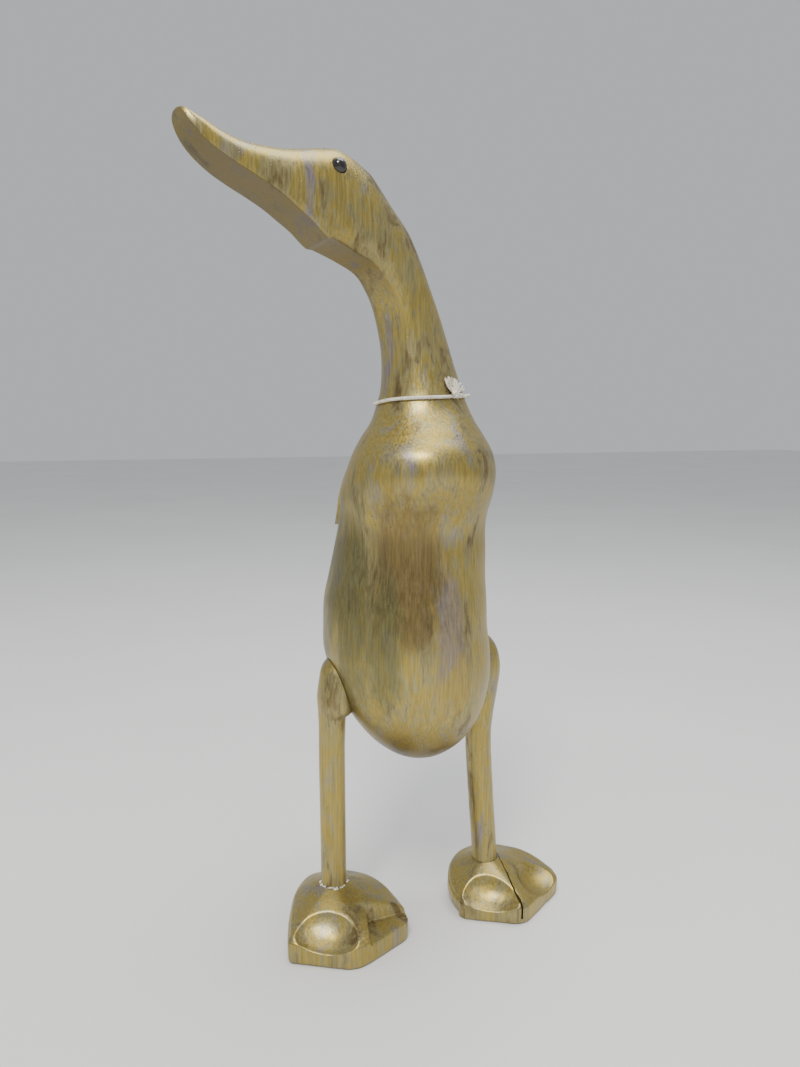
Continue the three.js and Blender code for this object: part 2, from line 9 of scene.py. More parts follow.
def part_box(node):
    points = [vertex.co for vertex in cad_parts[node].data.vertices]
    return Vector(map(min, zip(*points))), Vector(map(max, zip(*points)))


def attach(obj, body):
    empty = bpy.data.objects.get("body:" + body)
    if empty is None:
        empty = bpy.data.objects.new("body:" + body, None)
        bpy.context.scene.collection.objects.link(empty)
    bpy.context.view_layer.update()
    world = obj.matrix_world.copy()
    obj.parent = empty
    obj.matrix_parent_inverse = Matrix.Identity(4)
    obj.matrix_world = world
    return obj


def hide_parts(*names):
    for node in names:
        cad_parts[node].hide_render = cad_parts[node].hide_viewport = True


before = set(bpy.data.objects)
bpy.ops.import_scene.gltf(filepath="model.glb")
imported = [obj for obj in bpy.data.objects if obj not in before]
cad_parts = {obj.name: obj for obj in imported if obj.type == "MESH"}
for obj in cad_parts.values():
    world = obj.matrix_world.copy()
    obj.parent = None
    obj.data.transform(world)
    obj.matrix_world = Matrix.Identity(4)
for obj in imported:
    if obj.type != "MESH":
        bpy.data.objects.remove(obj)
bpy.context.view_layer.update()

MM = 0.001
DEG = math.pi / 180


# Camera at the photograph's viewing angle
def make_camera():
    data = bpy.data.cameras.new("camera")
    data.sensor_width = 36
    data.lens = 820 / 1067 * 36
    data.clip_start = 0.01
    camera = bpy.data.objects.new("camera", data)
    camera.location = (-0.1446, -0.4600, 0.3060)
    camera.rotation_euler = ((90 - 8.0) * DEG, 0, -18.8 * DEG)
    bpy.context.scene.collection.objects.link(camera)
    bpy.context.scene.camera = camera


make_camera()

# The duck's sizes in millimetres, from the middle between the ankles; it faces -Y
HEAD_TURN = 79 * DEG
NECK_ROOT = (2.5, -8)
CHORD = 0.55
TRUNK = [  # height, sideways shift, half width, reach to the front, reach to the back
    (107.0, 1.0, 0, 9, -9),
    (108.1, 1.0, 8.3, 17.5, -1),
    (111.5, 1.0, 16.9, 26, 9),
    (119, 1.0, 27.0, 35.5, 21),
    (127, 0.8, 34.0, 41.5, 31),
    (136, 0.5, 39.8, 46, 40.5),
    (146, 0, 44.0, 48.5, 48),
    (157, -0.6, 47.3, 50, 54),
    (171, -2.2, 49.2, 50.5, 58),
    (185, -3.0, 48.3, 50, 59.5),
    (200, -2.8, 47.6, 48.3, 58.5),
    (216, -1.8, 45.6, 46, 55),
    (231, -0.6, 44.2, 44.6, 50.5),
    (243, -0.2, 42.8, 44.6, 46),
    (252, 0, 42.6, 46.6, 42),
    (261, 0.2, 43.4, 50.6, 38.5),
    (270, 0.6, 43.1, 54.2, 35),
    (278, 1.1, 41.8, 55.5, 31.5),
    (287, 1.6, 39.3, 53.5, 28),
    (296, 2.2, 34.6, 46.5, 24),
    (304, 2.9, 29.5, 40, 20.5),
    (312, 3.0, 26.2, 34.5, 18.5),
]
NECK = [  # underside point, top point, half width, twist, strip share, flatness, share below
    (23.2, 321, -23.2, 321, 23.2, 58, 0.55, 0, 0.5),
    (22.4, 335.4, -15.6, 340.5, 19.8, 42, 0.54, 0, 0.5),
    (23.6, 350.8, -8.2, 361, 17.7, 31, 0.5, 0.5, 0.5),
    (26.4, 364.5, -0.2, 379, 17.0, 26, 0.48, 0.9, 0.5),
    (30.8, 373.4, 4.6, 391, 17.0, 22, 0.48, 1, 0.5),
    (38.4, 382.6, 11.4, 405.4, 17.1, 17, 0.49, 1, 0.5),
    (49.4, 389.0, 21.6, 418.4, 17.4, 10, 0.56, 1, 0.5),
    (60.4, 394.3, 31.6, 430.2, 17.6, 4, 0.74, 1, 0.5),
    (63.4, 394.8, 35, 433.4, 17.6, 2, 0.8, 1, 0.5),
    (72, 402, 52, 441.6, 17.5, 2, 0.8, 1, 0.5),
    (80, 407.6, 65.5, 440.4, 17.0, 3, 0.82, 1, 0.48),
    (88, 413, 78, 438.3, 16.0, 4, 0.86, 1, 0.42),
    (97, 417.7, 90, 437.6, 15.0, 4, 0.91, 1, 0.36),
    (106, 422, 101.5, 437.9, 14.4, 4, 0.94, 1, 0.3),
    (115, 426.6, 110, 439.3, 14.3, 3, 0.95, 1, 0.28),
    (124.4, 433.1, 116.8, 442.1, 13.8, 1, 0.95, 1, 0.28),
    (130.3, 440, 123.2, 445, 12.4, 0, 0.95, 1, 0.3),
    (133.6, 446, 131, 447.8, 8.6, 0, 0.92, 1, 0.4),
    (134.2, 448, 134.2, 448, 0, 0, 0.8, 1, 0.5),
]
WING = dict(end=244, top=284, lift=2.4, front=112, back=173)
TAIL = dict(height=150, reach=26, half_width=15, half_height=13, rise=6)
EYE = dict(along=57.2, height=430, radius=4.1, sunk=1.6, head_side=16.2)

heading = np.array([-math.sin(HEAD_TURN), -math.cos(HEAD_TURN), 0.0])
up = np.array([0.0, 0.0, 1.0])


def eye_centre(side):
    centre = np.array([NECK_ROOT[0], NECK_ROOT[1], EYE["height"]], float)
    centre += heading * EYE["along"]
    return centre + np.cross(up, heading) * side * (EYE["head_side"] - EYE["sunk"])


low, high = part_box("eye_left")
SHIFT = (np.array(low) + np.array(high)) / 2 * 1000 - eye_centre(1)


# Stations of the body's loft
def trunk_station(row):
    z, x, half_width, front, back = row
    depth = (front + back) / 2
    return (x, (back - front) / 2, z, 0, HEAD_TURN / DEG, half_width, depth,
            depth * math.sqrt(1 - CHORD ** 2), CHORD, 0)


def neck_station(row):
    l0, z0, l1, z1, w, twist, strip, flatness, share = row
    depth = math.hypot(l1 - l0, z1 - z0)
    along = l0 + (l1 - l0) * share
    bulge = 1 / math.sqrt(1 - strip ** 2)
    lean = math.atan2(z1 - z0, l0 - l1) / DEG if depth > 0 else 40
    return (NECK_ROOT[0] + along * heading[0], NECK_ROOT[1] + along * heading[1],
            z0 + (z1 - z0) * share, lean, twist, w, depth * (1 - share),
            depth * share / (flatness + (1 - flatness) * bulge), strip, flatness)


X, Y, Z, LEAN, TWIST, W, TOP, FLAT, STRIP, FLATNESS = range(10)
stations = np.array([trunk_station(r) for r in TRUNK] + [neck_station(r) for r in NECK])
reach = np.hypot.reduce(np.diff(stations[:, [X, Y, Z, W]], axis=0), axis=1)
lengths = np.concatenate([[0], np.cumsum(reach)])
slopes = np.empty_like(stations)
slopes[1:-1] = (stations[2:] - stations[:-2]) / (lengths[2:] - lengths[:-2])[:, None]
for end, a, b in ((0, 0, 1), (-1, -2, -1)):
    slopes[end] = 0
    for key in (W, TOP, FLAT):
        slopes[end, key] = (stations[b, key] - stations[a, key]) / (lengths[b] - lengths[a])


def section_at(s):
    i = np.clip(np.searchsorted(lengths, s) - 1, 0, len(lengths) - 2)
    step = (lengths[i + 1] - lengths[i])[:, None]
    t = (s - lengths[i])[:, None] / step
    return (stations[i] * (1 - t) ** 2 * (1 + 2 * t) + stations[i + 1] * t ** 2 * (3 - 2 * t)
            + slopes[i] * step * t * (1 - t) ** 2 - slopes[i + 1] * step * t ** 2 * (1 - t))


def length_at_height(z):
    s = np.linspace(0, lengths[-1], 4000)
    return float(np.interp(z, section_at(s)[:, Z], s))


def smooth(t):
    t = np.clip(t, 0, 1)
    return t * t * (3 - 2 * t)


def loft_rows(s, extra=0.0, strip_steps=28, flank_steps=24, top_steps=84):
    """Rings of the body at running lengths s, as an array rows x around x 3."""
    c = section_at(np.asarray(s, float))
    n = len(c)
    lean, twist = c[:, LEAN] * DEG, c[:, TWIST] * DEG
    flat_top = np.sin(lean)[:, None] * up - np.cos(lean)[:, None] * heading
    along = np.cos(lean)[:, None] * up + np.sin(lean)[:, None] * heading
    flat_side = np.cross(flat_top, along)
    top = flat_top * np.cos(twist)[:, None] - flat_side * np.sin(twist)[:, None]
    side = flat_top * np.sin(twist)[:, None] + flat_side * np.cos(twist)[:, None]
    strip = c[:, STRIP]
    root = np.sqrt(1 - strip ** 2)
    w = np.maximum(c[:, W], 0) + extra
    height = np.maximum(c[:, TOP], 0) + extra
    flat = np.maximum(c[:, FLAT], 0) + extra * root
    under = flat / root
    edge = np.arctan2(strip, root) / DEG
    xs, ys, angles = [], [], []
    for i in range(strip_steps):
        x = w * strip * (2 * i - strip_steps) / strip_steps
        e = np.arctan2(x / np.maximum(w, 1e-9), flat / np.maximum(under, 1e-9))
        f = c[:, FLATNESS]
        xs.append(x * f + w * np.sin(e) * (1 - f))
        ys.append(-flat * f - under * np.cos(e) * (1 - f))
        angles.append(e / DEG)

    def ellipse(angle, depth):
        xs.append(w * np.sin(angle * DEG))
        ys.append(-depth * np.cos(angle * DEG))
        angles.append(angle)

    for i in range(flank_steps):
        ellipse(edge + (90 - edge) * i / flank_steps, under)
    over = [180 + 90 * t * (0.68 + 0.32 * t * t) for t in np.linspace(-1, 1, top_steps + 1)]
    for angle in (WING["front"], WING["back"]):
        for d in (-0.25, 0.25):
            over += [angle + d, 360 - angle - d]
    for angle in sorted(over):
        ellipse(np.full(n, angle), height)
    for i in range(1, flank_steps):
        ellipse(270 + (90 - edge) * i / flank_steps, under)
    x, y, angle = np.array(xs).T, np.array(ys).T, np.array(angles).T
    if not extra:
        a = np.minimum(angle, 360 - angle)
        level = c[:, Z][:, None]
        on = (a >= WING["front"]) & (a <= WING["back"]) & (level >= WING["end"])
        lift = WING["lift"] * smooth((WING["top"] - level) / (WING["top"] - WING["end"])) * on
        r = np.maximum(np.hypot(x, y), 1e-9)
        x, y = x + lift * x / r, y + lift * y / r
    points = (c[:, None, :3] + x[:, :, None] * side[:, None, :] + y[:, :, None] * top[:, None, :])
    if not extra:
        a = (points[:, :, 0] - c[:, None, X]) / TAIL["half_width"]
        b = (points[:, :, 2] - TAIL["height"]) / TAIL["half_height"]
        behind = (angle > 90) & (angle < 270) & (c[:, Z][:, None] < 220)
        bump = np.exp(-a * a - b * b) * np.maximum(-np.cos(angle * DEG), 0) * behind
        points[:, :, 1] += TAIL["reach"] * bump
        points[:, :, 2] += TAIL["rise"] * bump
    return points


# Mesh helpers
def add_object(name, verts_mm, faces, sharp=40):
    mesh = bpy.data.meshes.new(name)
    mesh.from_pydata((np.asarray(verts_mm) * MM).tolist(), [], [tuple(int(v) for v in f) for f in faces])
    mesh.validate()
    obj = bpy.data.objects.new(name, mesh)
    bpy.context.scene.collection.objects.link(obj)
    shade(obj, sharp)
    return obj


def shade(obj, sharp=40):
    mesh = obj.data
    mesh.polygons.foreach_set("use_smooth", [True] * len(mesh.polygons))
    if sharp:
        mesh.set_sharp_from_angle(angle=sharp * DEG)
    mesh.update()


def skin(rings, first, final):
    """Vertices and faces of a closed surface through rings, with a point at each end."""
    rings = np.asarray(rings)
    rows, around = rings.shape[:2]
    verts = np.concatenate([[first], rings.reshape(-1, 3), [final]])
    j = np.arange(around)
    k = (j + 1) % around
    faces = [(0, 1 + b, 1 + a) for a, b in zip(j, k)]
    for i in range(rows - 1):
        base = 1 + i * around
        faces += list(zip(base + j, base + k, base + around + k, base + around + j))
    base = 1 + (rows - 1) * around
    faces += [(len(verts) - 1, base + a, base + b) for a, b in zip(j, k)]
    return verts, faces


def place(points):
    return np.asarray(points) + SHIFT


def apply_modifiers(obj):
    depsgraph = bpy.context.evaluated_depsgraph_get()
    mesh = bpy.data.meshes.new_from_object(obj.evaluated_get(depsgraph))
    old = obj.data
    obj.modifiers.clear()
    obj.data = mesh
    bpy.data.meshes.remove(old)


def cut(obj, *tools, operation="DIFFERENCE"):
    for tool in tools:
        modifier = obj.modifiers.new("cut", "BOOLEAN")
        modifier.operation = operation
        modifier.solver = "MANIFOLD"
        modifier.object = tool
        apply_modifiers(obj)
        bpy.data.objects.remove(tool, do_unlink=True)


def vertices(obj):
    co = np.empty(len(obj.data.vertices) * 3)
    obj.data.vertices.foreach_get("co", co)
    return co.reshape(-1, 3) / MM


def set_vertices(obj, points):
    obj.data.vertices.foreach_set("co", (points * MM).ravel())
    obj.data.update()


def normals(obj):
    out = np.empty(len(obj.data.vertices) * 3)
    obj.data.vertex_normals.foreach_get("vector", out)
    return out.reshape(-1, 3)


def wobble(obj, size, amount, seed=0.0, stretch=(1, 1, 1)):
    """Low hand-worked unevenness along the normals."""
    p, n = vertices(obj), normals(obj)
    q = p / size * np.array(stretch) + seed
    d = np.array([noise.noise(Vector(v)) for v in q])
    set_vertices(obj, p + n * (d * amount)[:, None])


def finish_piece(obj, node, material):
    obj.data.materials.clear()
    obj.data.materials.append(material)
    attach(obj, "root")
    if node:
        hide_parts(node)


# Body, neck, head and bill
BODY_STEP = 1.3
STRIP_STEPS = 28


def body_lengths(step, margin=0.4):
    s = np.arange(margin, lengths[-1] - 0.3, step)
    wing_end = length_at_height(WING["end"])
    s = s[np.abs(s - wing_end) > 0.5]
    return np.sort(np.concatenate([s, [wing_end - 0.12, wing_end + 0.12]]))


def soften_columns(points, columns, passes=1):
    n = points.shape[1]
    for _ in range(passes):
        copy = points.copy()
        for c in columns:
            for d in (-1, 0, 1):
                k = (c + d) % n
                points[:, k] = (copy[:, k - 1] + 2 * copy[:, k] + copy[:, (k + 1) % n]) / 4
    return points


def ball(name, centre, radius, subdivisions=5):
    mesh = bpy.data.meshes.new(name)
    bm = bmesh.new()
    bmesh.ops.create_icosphere(bm, subdivisions=subdivisions, radius=radius * MM)
    bmesh.ops.translate(bm, verts=bm.verts, vec=Vector(centre) * MM)
    bm.to_mesh(mesh)
    bm.free()
    obj = bpy.data.objects.new(name, mesh)
    bpy.context.scene.collection.objects.link(obj)
    return obj


def body_piece():
    rows = soften_columns(loft_rows(body_lengths(BODY_STEP)), (0, STRIP_STEPS))
    verts, faces = skin(place(rows), place(stations[0, :3]), place(stations[-1, :3]))
    obj = add_object("carved_body", verts, faces, sharp=0)
    wobble(obj, 24, 0.30, 3.1)
    wobble(obj, 7, 0.07, 8.3, (1, 1, 0.4))
    p, n = vertices(obj), normals(obj)
    for side in (-1, 1):
        d = np.linalg.norm(p - place(eye_centre(side)), axis=1)
        p += n * (0.28 * np.exp(-((d - 5.3) / 0.8) ** 2))[:, None]
    set_vertices(obj, p)
    cut(obj, *[ball("socket", place(eye_centre(k)), EYE["radius"] + 0.22) for k in (-1, 1)])
    shade(obj, 32)
    return obj


def room_tool():
    rows = loft_rows(body_lengths(2.5), extra=0.3, strip_steps=14, flank_steps=12, top_steps=60)
    base = stations[0, :3] - np.array([0, 0, 0.3])
    verts, faces = skin(place(rows), place(base), place(stations[-1, :3]))
    return add_object("room", verts, faces, sharp=0)


# Feet, in plan from the ankle: across, forward. The mound rises from a round of radius
# `round_reach` and height `round_level` in the middle.
FEET = dict(
    right=dict(
        ankle=(-49.6, 0), leg_radius=7.6, peak=33, tuck=0.8, tuck_top=0.1,
        round_reach=37.3, round_level=15.4,
        walls=[(-33.4, 25.4, 13, 3), (2.6, 44.8, 13, 10), (39.6, 26, 15.5, 5)],
        heel=[(38.5, 12, 15.5), (35, -3, 17.5), (28, -15, 19.5), (16, -23.5, 20.5),
              (2, -28, 20.5), (-11, -26, 20), (-21, -15, 18), (-27.8, 2, 15), (-31, 14, 13.5)],
        scoops=[dict(wall=0, along=5, out=41, reach=22, half=30, depth=25, level=32.6)],
    ),
    left=dict(
        ankle=(50.2, 1.2), leg_radius=7.9, peak=31, tuck=2.6, tuck_top=0.5,
        round_reach=34.7, round_level=12.9,
        walls=[(-24, 19.5, 10.5, 4), (10.2, 38.4, 11.5, 8), (48.8, 11.6, 9.5, 6)],
        heel=[(48, 2, 11.5), (43, -8, 14.5), (35, -16, 17.5), (22, -23, 19.5), (7, -27, 20),
              (-7, -24, 19.5), (-17, -16, 18), (-23, -5, 14.5), (-25, 7, 11.5)],
        scoops=[dict(wall=0, along=6.5, out=34, reach=20, half=30, depth=22, level=27.8),
                dict(wall=1, along=16, out=37.5, reach=20, half=20, depth=14, level=21.5)],
    ),
)
ROUND = 1.4
SOCKET_FLOOR = 12
CHISEL = dict(bank=[(6.6, 17.6), (14, 20.7), (10.2, 46)], far=[(60, 16.2), (60, 16.6), (60, 40)],
              heights=[25.3, 12.5, 9.5])
CRACK = [(15, -15, 0.5), (9.2, -4, 0.8), (8.8, 8, 0.9), (8.5, 24, 1.4), (9.2, 33, 1.6),
         (9.2, 42, 1.0)]
CRACK_FLOOR = 3
FOOT_VOXEL = 0.55


def toward(a, b, mm):
    a, b = np.array(a[:3], float), np.array(b[:3], float)
    return a + (b - a) * mm / math.hypot(*(b - a)[:2])


def foot_outline(foot, wall_steps=26, corner_steps=9, heel_steps=9):
    walls, heel = foot["walls"], foot["heel"]
    before = [heel[-1], walls[0], walls[1]]
    after = [walls[1], walls[2], heel[0]]
    points = []
    for k, corner in enumerate(walls):
        a, b = toward(corner, before[k], corner[3]), toward(corner, after[k], corner[3])
        c = np.array(corner[:3], float)
        if k:
            start = points[-1]
            points += [start + (a - start) * i / wall_steps for i in range(1, wall_steps)]
        for i in range(corner_steps + 1):
            t = i / corner_steps
            points.append((1 - t) ** 2 * a + 2 * t * (1 - t) * c + t * t * b)
    wall_count = len(points)
    bend = [points[-1]] + [np.array(h, float) for h in heel] + [points[0]]
    for i in range(len(bend) - 1):
        a, b = bend[i], bend[i + 1]
        ahead = bend[i + 2] if i + 2 < len(bend) else b
        behind = bend[i - 1] if i else a
        for k in range(0 if i else 1, heel_steps):
            t = k / heel_steps
            points.append(a * (1 - t) ** 2 * (1 + 2 * t) + b * t * t * (3 - 2 * t)
                          + (b - behind) / 2 * t * (1 - t) ** 2 - (ahead - a) / 2 * t * t * (1 - t))
    return np.array(points), wall_count


def foot_point(foot, across, forward, z):
    across, forward, z = np.broadcast_arrays(across, forward, z)
    x0, y0 = foot["ankle"]
    return np.stack([x0 + across, y0 - forward, z], -1).astype(float)


def scoop_tool(foot, s):
    a, b = np.array(foot["walls"][s["wall"]][:2]), np.array(foot["walls"][s["wall"] + 1][:2])
    u = (b - a) / np.linalg.norm(b - a)
    n = np.array([-u[1], u[0]])
    tool = ball("scoop", (0, 0, 0), 1, 6)
    p = vertices(tool)
    o = s["out"] + s["reach"] * p[:, 0]
    t = s["along"] - s["half"] * p[:, 1]
    z = s["level"] + s["depth"] * p[:, 2]
    q = foot_point(foot, o * n[0] + t * u[0], o * n[1] + t * u[1], z)
    set_vertices(tool, place(q))
    tool.data.flip_normals()
    return tool


def prism_tool(name, floor, top):
    """Closed block between a floor outline and the same outline at the top."""
    count = len(floor)
    faces = [(i, (i + 1) % count, count + (i + 1) % count, count + i) for i in range(count)]
    faces.append(tuple(range(count - 1, -1, -1)))
    faces.append(tuple(range(count, 2 * count)))
    obj = add_object(name, np.concatenate([floor, top]), faces, sharp=0)
    bm = bmesh.new()
    bm.from_mesh(obj.data)
    bmesh.ops.triangulate(bm, faces=bm.faces)
    bmesh.ops.recalc_face_normals(bm, faces=bm.faces)
    bm.to_mesh(obj.data)
    bm.free()
    return obj


def chisel_tool(foot):
    plan = CHISEL["bank"] + CHISEL["far"][::-1]
    level = CHISEL["heights"] + CHISEL["heights"][::-1]
    x, y = np.array(plan).T
    floor, top = foot_point(foot, x, y, np.array(level)), foot_point(foot, x, y, 45)
    index = [(0, 4, 1), (0, 5, 4), (1, 3, 2), (1, 4, 3), (6, 7, 10), (6, 10, 11), (7, 8, 9),
             (7, 9, 10)]
    for i in range(6):
        j = (i + 1) % 6
        index += [(i, j, 6 + j), (i, 6 + j, 6 + i)]
    return add_object("chisel", place(np.concatenate([floor, top])), index, sharp=0)


def crack_tool(foot):
    line = np.array(CRACK)
    t = np.linspace(0, len(line) - 1, 90)
    x, y, width = (np.interp(t, range(len(line)), line[:, k]) for k in range(3))
    ragged = np.array([noise.noise(Vector((v * 0.5, 1.7, 0.3))) for v in y])
    x = x + 0.35 * ragged
    width = width * (0.8 + 0.35 * ragged)
    right = np.stack([x + width / 2, y], -1)
    left = np.stack([x - width / 2, y], -1)
    plan = np.concatenate([right, left[::-1]])
    floor = foot_point(foot, plan[:, 0], plan[:, 1], CRACK_FLOOR)
    top = foot_point(foot, plan[:, 0], plan[:, 1], 40)
    return prism_tool("crack", place(floor), place(top))


def soften_rims(obj):
    """Wears the upper rims of the scoops soft; the lower front edges stay crisp."""
    z = vertices(obj)[:, 2]
    group = obj.vertex_groups.new(name="upper")
    for level in np.linspace(0.1, 1, 10):
        chosen = np.nonzero(smooth((z - 14) / 5) >= level)[0]
        group.add([int(i) for i in chosen], float(level), "REPLACE")
    soft = obj.modifiers.new("soft_rims", "SMOOTH")
    soft.factor = 0.5
    soft.iterations = 14
    soft.vertex_group = "upper"
    apply_modifiers(obj)
    obj.vertex_groups.clear()


def foot_piece(name, foot, rough_tools, sharp_tools):
    outline, wall_count = foot_outline(foot)
    x, y, edge = outline.T
    r = np.hypot(x, y)
    tuck = np.where(np.arange(len(r)) < wall_count, 0.4, 0.4 + foot["tuck"])

    def ring(share, z):
        return foot_point(foot, x * share, y * share, z)

    rings = [ring(1 - tuck / r, np.zeros_like(r)), ring(1, edge * foot["tuck_top"] + 0.3),
             ring(1, edge - ROUND), ring(1 - 0.4 * ROUND / r, edge - 0.35 * ROUND),
             ring(1 - ROUND / r, edge)]
    for share in np.linspace(0.94, 0.06, 40):
        low = edge * share + foot["round_level"] * (1 - share)
        scale = share * (share + (1 - share) * foot["round_reach"] / r)
        rings.append(ring(scale, low + (foot["peak"] - low) * (1 - share) ** 0.95))
    verts, faces = skin(place(rings), place(foot_point(foot, 0, 0, 0)),
                        place(foot_point(foot, 0, 0, foot["peak"])))
    obj = add_object(name, verts, faces, sharp=0)
    cut(obj, *[scoop_tool(foot, s) for s in foot["scoops"]], *rough_tools)
    remesh = obj.modifiers.new("remesh", "REMESH")
    remesh.mode = "VOXEL"
    remesh.voxel_size = FOOT_VOXEL * MM
    soft = obj.modifiers.new("soft", "SMOOTH")
    soft.factor = 0.5
    soft.iterations = 3
    apply_modifiers(obj)
    soften_rims(obj)
    wobble(obj, 11, 0.28, 5.7)
    wobble(obj, 3.5, 0.07, 1.9)
    p = vertices(obj)
    p[:, 2] = np.maximum(p[:, 2], 0)
    p[:, 2] -= p[:, 2].min()
    set_vertices(obj, p)
    bm = bmesh.new()
    bmesh.ops.create_cone(bm, cap_ends=True, segments=96, radius1=(foot["leg_radius"] + 0.2) * MM,
                          radius2=(foot["leg_radius"] + 0.2) * MM, depth=30 * MM)
    centre = place(foot_point(foot, 0, 0, SOCKET_FLOOR + 15))
    bmesh.ops.translate(bm, verts=bm.verts, vec=Vector(centre) * MM)
    mesh = bpy.data.meshes.new("hole")
    bm.to_mesh(mesh)
    bm.free()
    hole = bpy.data.objects.new("hole", mesh)
    bpy.context.scene.collection.objects.link(hole)
    cut(obj, hole, *sharp_tools)
    return obj


# Legs from the ankle up: height, shift towards the body, shift back, half width, half depth
LEGS = dict(
    right=[(12.3, 0, 0, 7.6, 7.6), (28, 0, 0, 7.6, 7.6), (70, -0.2, 0, 7.6, 7.6),
           (112, -0.2, 0, 7.6, 7.8), (124, 0, 0, 7.7, 8.6), (133.8, 0.2, 0.2, 8.1, 9.8),
           (136, 2.2, 0.5, 10.0, 11.7), (147, 3.6, 1, 11.6, 13.8), (158, 5.0, 1.5, 11.2, 13.2),
           (165, 5.2, 2, 8.6, 10.2), (169, 5.2, 2, 5.0, 6.2), (171, 5.2, 2, 0, 0)],
    left=[(12.3, 0, 0, 7.9, 7.9), (28, 0.1, 0, 7.9, 7.9), (70, 3.0, 0, 7.9, 7.9),
          (112, 5.4, 0, 8.0, 8.2), (124, 5.4, 0, 8.8, 10.0), (140.5, 4.6, 0.5, 10.6, 12.4),
          (154.5, 4.1, 1, 11.8, 13.8), (165, 5.0, 1.5, 11.1, 13.0), (171, 5.6, 2, 8.5, 10.0),
          (174.7, 5.8, 2, 5.0, 6.2), (176.5, 5.8, 2, 0, 0)],
)


def spline(xs, ys, x, steady=False):
    """Cubic pieces through the points. A steady one never swings past its points."""
    xs, ys = np.asarray(xs, float), np.asarray(ys, float)
    m = np.gradient(ys, xs)
    if steady:
        d = np.diff(ys) / np.diff(xs)
        low, high = np.minimum(d[:-1], d[1:]), np.maximum(d[:-1], d[1:])
        m[1:-1] = np.clip(m[1:-1], np.minimum(3 * high, 0), np.maximum(3 * low, 0))
    i = np.clip(np.searchsorted(xs, x) - 1, 0, len(xs) - 2)
    h = xs[i + 1] - xs[i]
    t = (x - xs[i]) / h
    return (ys[i] * (1 - t) ** 2 * (1 + 2 * t) + ys[i + 1] * t * t * (3 - 2 * t)
            + m[i] * h * t * (1 - t) ** 2 - m[i + 1] * h * t * t * (1 - t))


def leg_piece(name, side, foot, table, around=72):
    table = np.array(table, float)
    z_top = table[-1, 0]
    z = np.concatenate([np.linspace(table[0, 0], z_top - 8, 110),
                        z_top - 8 * np.cos(np.linspace(0.08, 0.97, 16) * math.pi / 2)])
    inward, back, hw, hd = (spline(table[:, 0], table[:, k], z, True) for k in (1, 2, 3, 4))
    cap = np.sqrt(np.clip((z_top - z) / (z_top - table[-3, 0]), 0, 1))
    over = z > table[-3, 0]
    hw[over] = table[-3, 3] * cap[over]
    hd[over] = table[-3, 4] * cap[over]
    t = np.linspace(0, 2 * math.pi, around, endpoint=False)
    x0, y0 = foot["ankle"]
    rings = np.stack([
        (x0 - side * inward)[:, None] + hw[:, None] * np.cos(t),
        (y0 + back)[:, None] + hd[:, None] * np.sin(t),
        np.repeat(z[:, None], around, 1)], -1)
    tip = (x0 - side * inward[-1], y0 + back[-1], z_top)
    verts, faces = skin(place(rings), place((x0, y0, z[0])), place(tip))
    obj = add_object(name, verts, faces, sharp=0)
    wobble(obj, 14, 0.22, 2.2, (1, 1, 0.35))
    cut(obj, room_tool())
    shade(obj, 35)
    return obj


# String: loop, knot, frayed end and short end
STRING = dict(height=317.3, tilt=0.9, sag=2.4, sag_at=-109 * DEG, radius=1.0)
KNOT = dict(angle=24, height=318.9, radius=1.9)
neck_rings = loft_rows([length_at_height(z) for z in np.arange(304, 338, 0.5)],
                       strip_steps=12, flank_steps=14, top_steps=40)
neck_cloud = neck_rings.reshape(-1, 3)


def neck_point(angle, z, off):
    """Point off the neck's surface; angle in radians from straight ahead to the duck's left."""
    axis = section_at(np.array([length_at_height(z)]))[0]
    p = neck_cloud - axis[:3]
    turn = np.arctan2(p[:, 0], -p[:, 1]) - angle
    turn = (turn + math.pi) % (2 * math.pi) - math.pi
    weight = np.exp(-(p[:, 2] / 0.8) ** 2 - (turn / 0.06) ** 2)
    r = np.sum(np.hypot(p[:, 0], p[:, 1]) * weight) / np.sum(weight) + off
    return np.array([axis[X] + r * math.sin(angle), axis[Y] - r * math.cos(angle), z])


def tube(path, radii, sides=6, closed=False):
    """Vertices and faces of a tube along a path."""
    path = np.asarray(path, float)
    n = len(path)
    radii = np.broadcast_to(radii, n)
    ahead = np.roll(path, -1, 0) if closed else np.concatenate([path[1:], path[-1:]])
    behind = np.roll(path, 1, 0) if closed else np.concatenate([path[:1], path[:-1]])
    tangent = ahead - behind
    tangent /= np.linalg.norm(tangent, axis=1)[:, None]
    normal = np.cross(tangent[0], up if abs(tangent[0, 2]) < 0.9 else heading)
    frames = []
    for t in tangent:
        normal = normal - t * (normal @ t)
        normal /= np.linalg.norm(normal)
        frames.append(normal)
    normal = np.array(frames)
    binormal = np.cross(tangent, normal)
    a = np.linspace(0, 2 * math.pi, sides, endpoint=False)
    verts = (path[:, None] + radii[:, None, None] * (normal[:, None] * np.cos(a)[:, None]
             + binormal[:, None] * np.sin(a)[:, None])).reshape(-1, 3)
    faces = []
    for i in range(n if closed else n - 1):
        for k in range(sides):
            b, c = i * sides, ((i + 1) % n) * sides
            faces.append((b + k, b + (k + 1) % sides, c + (k + 1) % sides, c + k))
    if not closed:
        faces.append(tuple(range(sides - 1, -1, -1)))
        faces.append(tuple(range((n - 1) * sides, n * sides)))
    return verts, faces


def curve_through(points, count):
    points = np.asarray(points, float)
    t = np.concatenate([[0], np.cumsum(np.linalg.norm(np.diff(points, axis=0), axis=1))])
    x = np.linspace(0, t[-1], count)
    return np.stack([spline(t, points[:, k], x) for k in range(3)], -1)


